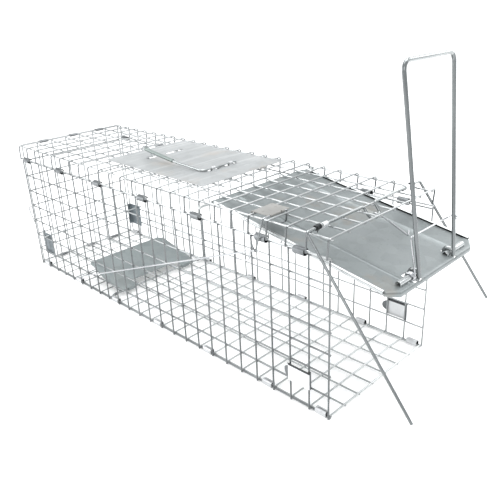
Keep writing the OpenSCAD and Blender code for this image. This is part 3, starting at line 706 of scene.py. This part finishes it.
# front hem and side rolls: outer faces in the lighter copy as painted highlight, inner faces near black as
# painted shade
for x0, x1 in ((-60.4, -25.6), (25.6, 60.4)):
    strip(s, arc(DLEN, 4.6, 2.8, 235, 555, 22), 0.75, lambda u, v, l: on_door(l, u, v), x0, x1,
          mat=1, left=2)
for sgn in (-1, 1):
    def rim(u, v, l, sgn=sgn):
        return on_door(sgn * u, l, v)
    strip(s, [(77.4, 1.5)] + arc(DHALF, 3.3, 1.85, -88, 150, 16), 0.75, rim, 6, 227.4, 12, mat=1, left=2)
make("door_sheet_rolled", s, "door", "door_sheet", [DOOR, ROLL_PAINTED_HIGHLIGHT, PAINTED_SHADE], "door_panel", crease=42, bevel=0.12)

HEM = on_door(0, DLEN, 4.6)
hy, hz = HEM[1], HEM[2]

# ---------- lock handle and its spring ----------

s = Shape()
lo, hi = box_of("lock_handle")
rc = 3.2 + 0.1 + 2
ht = hi[2] - 2
fx, tx = 32.8, 42.9
legs = []
for sgn in (-1, 1):
    eye = coil(sgn * (fx - 0.4), sgn * fx, hy, hz, rc, 0.86, start=-0.86 * 2 * math.pi - 0.12)
    legs.append(eye)
top = curve([(-fx, hy - rc - 0.05, hz + 1), (-tx, hy - rc + 23.3, ht), (tx, hy - rc + 23.3, ht),
             (fx, hy - rc - 0.05, hz + 1)], 8, 16)
# the steep legs take the darker leg copy: painted shade
tube(s, np.concatenate([legs[0], waver(top, 0.35, 340), legs[1][::-1]]), 2.0, 12, steep=1)
make("lock_handle_wire", s, "lock", "heavy_wire", [HEAVY, LEG_PAINTED_SHADE], "lock_handle")

s = Shape()
rc = 3.2 + 0.1 + 0.9
c = coil(-42.0, -37.4, hy, hz, rc, 2.9, start=-2.9 * 2 * math.pi - 0.15, per=18)
arm = curve([c[-1], (-37, -48.6, 198.6), (38.4, -48.6, 198), (38.4, -57.2, 198.6), (31, -57.2, 199)], 2.5, 10)
tube(s, np.concatenate([c[:-1], arm]), 0.9, 9, steep=0)
make("handle_spring_wire", s, "lock", "spring_steel", [SPRING, LEG_PAINTED_SHADE], "handle_spring")

# ---------- spring bar and pull rod ----------

lean = math.radians(38)
lo, hi = box_of("spring_bar")
xl, xr = lo[0] + 1.5, hi[0] - 1.5
cf, cz = BAR_F - 8.2, BAR_Z - 10.8


def foot(length):
    return (BAR_F - length * math.sin(lean), BAR_Z - length * math.cos(lean))


a, b = foot(194), foot(149)
s = Shape()
crank = [(-9.5, BAR_F, BAR_Z), (-9.5, cf, cz), (9.5, cf, cz), (9.5, BAR_F, BAR_Z)]
path = [(xl, *a), (xl, BAR_F, BAR_Z), *crank, (xr, BAR_F, BAR_Z), (xr, *b)]
# the steep legs take the darker leg copy: painted shade
tube(s, curve(path, 3.6, 12), 1.5, 12, end=0.5, steep=1)
make("spring_bar_wire", s, "spring_bar", "heavy_wire", [HEAVY, LEG_PAINTED_SHADE], "spring_bar")
s = Shape()
eye = coil(0.2, 1.0, cf, cz, 2.6, 0.86, start=-0.86 * 2 * math.pi - 0.3)
arm = curve([eye[-1], (0.9, cf - 9, cz + 0.3), (-32.5, -43.5, 197.4), (-32.5, -43.5, 203)], 2.5, 9)
tube(s, np.concatenate([eye[:-1], arm]), 0.9, 9)
make("pull_rod_wire", s, "pull_rod", "spring_steel", [SPRING], "pull_rod")

# ---------- catch plates ----------

# each catch plate's flange and tab take the darker clip copy and its top lip the near black: painted shade
for sgn, side in ((-1, "left"), (1, "right")):
    lo, hi = box_of("catch_plate_" + side)
    xo = SIDE + 1.5
    y0, z0, z1 = lo[1], lo[2], hi[2]
    yc, zc, rt = y0 + 29.4, (z0 + z1) / 2, hi[1] - y0 - 29.4
    s = Shape()

    def out(u, v, l, sgn=sgn):
        return (sgn * u, v, l)
    flange = [(xo - 2.3, y0 + 0.4), (xo - 0.9, y0 + 0.4), (xo - 0.3, y0 + 0.6)]
    strip(s, flange, SHEET, out, z0, z1 - 0.4, 3, mat=2)
    face = [(xo - 0.3, y0 + 0.7), (xo - 0.05, y0 + 1.2), (xo, y0 + 2), (xo, y0 + 10), (xo, y0 + 29.6)]
    strip(s, face, SHEET, out, z0, z1 - 3, 3)
    strip(s, [(xo, z1 - 3.4), (xo + 0.1, z1 - 1.6), (xo + 0.5, z1 - 0.8), (xo + 1.4, z1 - 0.4)], 0.8,
          lambda u, v, l, sgn=sgn: (sgn * u, l, v), y0 + 0.6, y0 + 29.6, 2, mat=1)
    def tab_at(v, u, sgn=sgn):
        return (sgn * (xo + 0.35 - 0.03 * u * u), yc + u, zc + v * math.sqrt(rt * rt - u * u))
    panel(s, [-1, -0.8, -0.4, 0, 0.4, 0.8, 1], [0, 1.2, 2.6, 4, 5.2, 5.9, rt - 0.05],
          tab_at, t=0.7, mat=2)
    for z in (z0 + 5, z1 - 6):
        dome(s, (sgn * (xo + 0.42), y0 + 15, z), 1.3, 0.35, (sgn, 0, 0))
    make("catch_sheet_" + side, s, "cage", "bright_sheet", [BRIGHT, PAINTED_SHADE, CLIP_PAINTED_SHADE], "catch_plate_" + side,
         bevel=0.15)

# ---------- trigger ----------

lo, hi = box_of("lever_bracket")
LF, LZ = lo[1] + 1.7, TOP + 2.3
s = Shape()
pz = TOP + 1.5
hb = hi[1] - 0.4
cap = [(hb, lo[2]), (hb, pz - 1.2), (hi[1] - 0.8, pz - 0.4), (hi[1] - 1.8, pz), (LF + 14, pz), (LF + 4, pz),
       (LF + 1.6, pz - 0.25)]
strip(s, cap, SHEET, along_x, lo[0], hi[0], 4)
for x0, x1 in ((lo[0], lo[0] + 15), (lo[0] + 16, lo[0] + 20.6)):
    strip(s, arc(LF, LZ, 1.33, -40, -330, 18), 0.7, along_x, x0, x1)
for x in (lo[0] + 6, lo[0] + 25):
    dome(s, (x, LF + 16, pz + 0.4), 1.5, 0.4)
make("lever_bracket_sheet", s, "cage", "bright_sheet", [CREAM], "lever_bracket", bevel=0.12)

ax = -SIDE - 4.5
ef, ez = LF + 12.8, LZ - 36.5
s = Shape()
path = [(-61, LF + 8, LZ - 17), (-61, LF + 1.4, LZ - 13), (-61, LF, LZ), (ax, LF, LZ),
        (ax, ef - 1.9, ez + 0.6)]
eye = coil(ax, ax - 0.4, ef, ez, 2.0, -0.72, start=0.25, per=20)
tail = curve([eye[-1], (ax - 0.3, ef + 3.0, ez + 3.0), (ax, ef + 5.6, ez + 13.5)], 1.5, 5)
# the steep part takes the darker leg copy: painted shade
tube(s, np.concatenate([curve(path, 3, 8)[:-1], eye, tail[1:]]), 0.9, 9, steep=1)
make("trigger_lever_wire", s, "trigger_lever", "spring_steel", [SPRING, LEG_PAINTED_SHADE], "trigger_lever")

rx = -SIDE - 6.6
rf, rzz = 463, 23.4
s = Shape()
main = curve([(-SIDE - 3, ef, ez), (rx, ef, ez), (rx, rf - 3.7, rzz + 1.4)], 1.3, 18)
eye = coil(rx, rx - 0.2, rf, rzz, 3.9, 0.88, start=0.36)
tube(s, np.concatenate([waver(main, 0.2, 360), eye]), 0.9, 9)
tube(s, curve([(rx, ef + 4.6, ez - 2.3), (rx, ef + 6.5, ez - 12), (rx, ef + 19, ez - 16.5)], 3, 5), 0.75, 8)
make("trigger_rod_wire", s, "trigger_rod", "spring_steel", [SPRING], "trigger_rod")

# ---------- treadle ----------

TF, TZ = 402.6, 7.0
ts = math.radians(13.5)


def on_tread(x, y, z):
    """Treadle frame (y to the rear of its pivot, z off its face) to the cage frame."""
    c, n = math.cos(ts), math.sin(ts)
    return np.array([x - 3, TF + y * c - z * n, TZ + y * n + z * c])


W = 71.0  # half width of the treadle
LUG = 14  # width of the turned down part of each front lug
RECESS = 11  # how far the front edge is set back between the lugs


def tread_at(u, y):
    """u runs from -1 to 1 over the tread and past that down the side flanges."""
    wl = W - max(0, (y - 82)) * 1.0 - max(0, 2 - y) * 0.8
    wr = W - max(0, (y - 79)) * 8 / 7 - max(0, 2 - y) * 0.8
    deep = 0.0
    if -2.5 < y < 71:
        deep = float(np.interp(y, [-2.5, 2.5, 38, 66, 71], [5.4, 5.6, 6.8, 4.4, 0.5]))
    w = wr if u > 0 else wl
    a, sg = abs(u), (1 if u > 0 else -1)
    wob = 0.4 * noise.noise(Vector((u * 2, y * 0.03, 9)))
    if a <= 1:
        return on_tread(sg * a * (w - 1.2), y, 3.8 + wob * (1 - a))
    if a < 1.05:
        return on_tread(sg * (w - 0.35), y, 3.45)
    return on_tread(sg * w, y, 2.8 - (a - 1.1) * 10 * max(0.0, deep - 1.2))


def lug_at(u, v, l):
    return on_tread(l, u, v)


us = [-1.2, -1.1, -1.03, *np.linspace(-1, 1, 17), 1.03, 1.1, 1.2]
ys = [-3, -2.4, 2, 6, RECESS, 15, 20, 29, 38, 47, 56, 66, 71, 79, 82, 86]
s = Shape()
panel(s, us, ys, tread_at, lambda u, y: y < RECESS and abs(u) < 0.62, t=SHEET)
for x in (-W + 12, W - 26):
    strip(s, [(-1.4, 3.3), (-2.3, 3.0), (-2.6, 2.2), (-2.6, -1.9)], SHEET, lug_at, x, x + LUG)
    for cheek in (x, x + LUG - SHEET):
        strip(s, [(-2.8, 0.8), (2.5, 0.8)], 5.0, lug_at, cheek, cheek + SHEET)
for x, y in ((-34, 33), (26, 33)):
    dome(s, on_tread(x, y, 3.75), 2.6, 0.8, on_tread(0, 0, 1) - on_tread(0, 0, 0))
make("treadle_sheet_bent", s, "treadle", "treadle_sheet", [TREAD], "treadle", crease=42, bevel=0.12)

lo, hi = box_of("treadle_pivot_rod")
s = Shape()
tube(s, curve([(lo[0], TF, TZ), (hi[0], TF, TZ)]), 1.2, 10)
make("treadle_pivot_wire", s, "cage", "heavy_wire", [HEAVY], "treadle_pivot_rod")
# treadle clips in the darker clip copy: painted shade
s = Shape()
for x in (-82, 81):
    strip(s, wrap(16 * PITCH, LOW + LAY, TF, TZ, R + 0.6), SHEET, along_x, x - 2.5, x + 2.5)
make("treadle_clips_wrapped", s, "cage", "clip_steel", [CLIP_PAINTED_SHADE], "treadle_pivot_clips", bevel=0.12)
s = Shape()
pin_x = [-62, -70.6, -70.8, -71.8, -72, rx - 1.0, rx - 1.1, rx - 1.5]
tube(s, [(x, rf, rzz) for x in pin_x], [1, 1, 1.15, 1.15, 1, 1, 1.7, 1.55], 10)
make("treadle_pin", s, "treadle", "heavy_wire", [HEAVY], "treadle_arm")

# ---------- floor, light, camera ----------

me = bpy.data.meshes.new("studio_floor")
pts, quads, n = [], [], 24
for i in range(n + 1):
    t = i / n
    yy = -5 + 13 * t
    zz = 0.0 if yy < 4 else (yy - 4) ** 2 * 0.16
    pts += [(-8, yy, zz), (8, yy, zz)]
for i in range(n):
    quads.append((2 * i, 2 * i + 1, 2 * i + 3, 2 * i + 2))
me.from_pydata(pts, [], quads)
floor = bpy.data.objects.new("studio_floor", me)
bpy.context.scene.collection.objects.link(floor)
floor.rotation_euler = (0, 0, math.radians(-44))
fm = bpy.data.materials.new("studio_paper")
fm.use_nodes = True
b = fm.node_tree.nodes["Principled BSDF"]
b.inputs["Base Color"].default_value = (0.93, 0.93, 0.93, 1)
b.inputs["Roughness"].default_value = 0.9
b.inputs["Specular IOR Level"].default_value = 0.1
b.inputs["Emission Color"].default_value = (1, 1, 1, 1)
b.inputs["Emission Strength"].default_value = 0.22
me.materials.append(fm)

world = bpy.data.worlds.new("studio")
world.use_nodes = True
bg = world.node_tree.nodes["Background"]
bg.inputs[0].default_value = (0.975, 0.99, 1.0, 1)
bg.inputs[1].default_value = 1.08
bpy.context.scene.world = world


def softbox(name, loc, target, size, power, tint=(1, 1, 1)):
    d = bpy.data.lights.new(name, "AREA")
    d.shape, d.size, d.size_y, d.energy, d.color = "RECTANGLE", size[0], size[1], power, tint
    o = bpy.data.objects.new(name, d)
    o.location = loc
    o.rotation_euler = (Vector(target) - Vector(loc)).to_track_quat("-Z", "Y").to_euler()
    bpy.context.scene.collection.objects.link(o)


softbox("overhead", (0.1, 0.1, 1.7), (0, 0, 0.1), (1.6, 1.4), 24)
softbox("front_left", (-1.5, -1.3, 1.1), (0, 0, 0.1), (0.8, 0.9), 9, (1, 0.99, 0.97))
softbox("left_rim", (-1.25, 1.15, 0.55), (-0.05, -0.1, 0.15), (0.7, 0.9), 9)
softbox("right", (1.6, -0.5, 1.0), (0, 0, 0.1), (0.7, 1.0), 8)

cam = bpy.data.cameras.new("camera")
cam.lens, cam.sensor_width = 42.716, 36
cam.clip_start, cam.clip_end = 0.05, 60
co = bpy.data.objects.new("camera", cam)
right, back = Vector((0.7029, -0.7100, -0.0433)), Vector((-0.6399, -0.6577, 0.3975))
eye = Vector((-0.48579, -0.56091, 0.40750))
up = back.cross(right).normalized()
right = up.cross(back).normalized()
back.normalize()
co.matrix_world = Matrix((
    (right.x, up.x, back.x, eye.x), (right.y, up.y, back.y, eye.y),
    (right.z, up.z, back.z, eye.z), (0, 0, 0, 1)))
bpy.context.scene.collection.objects.link(co)
bpy.context.scene.camera = co
bpy.context.scene.view_settings.view_transform = "Standard"
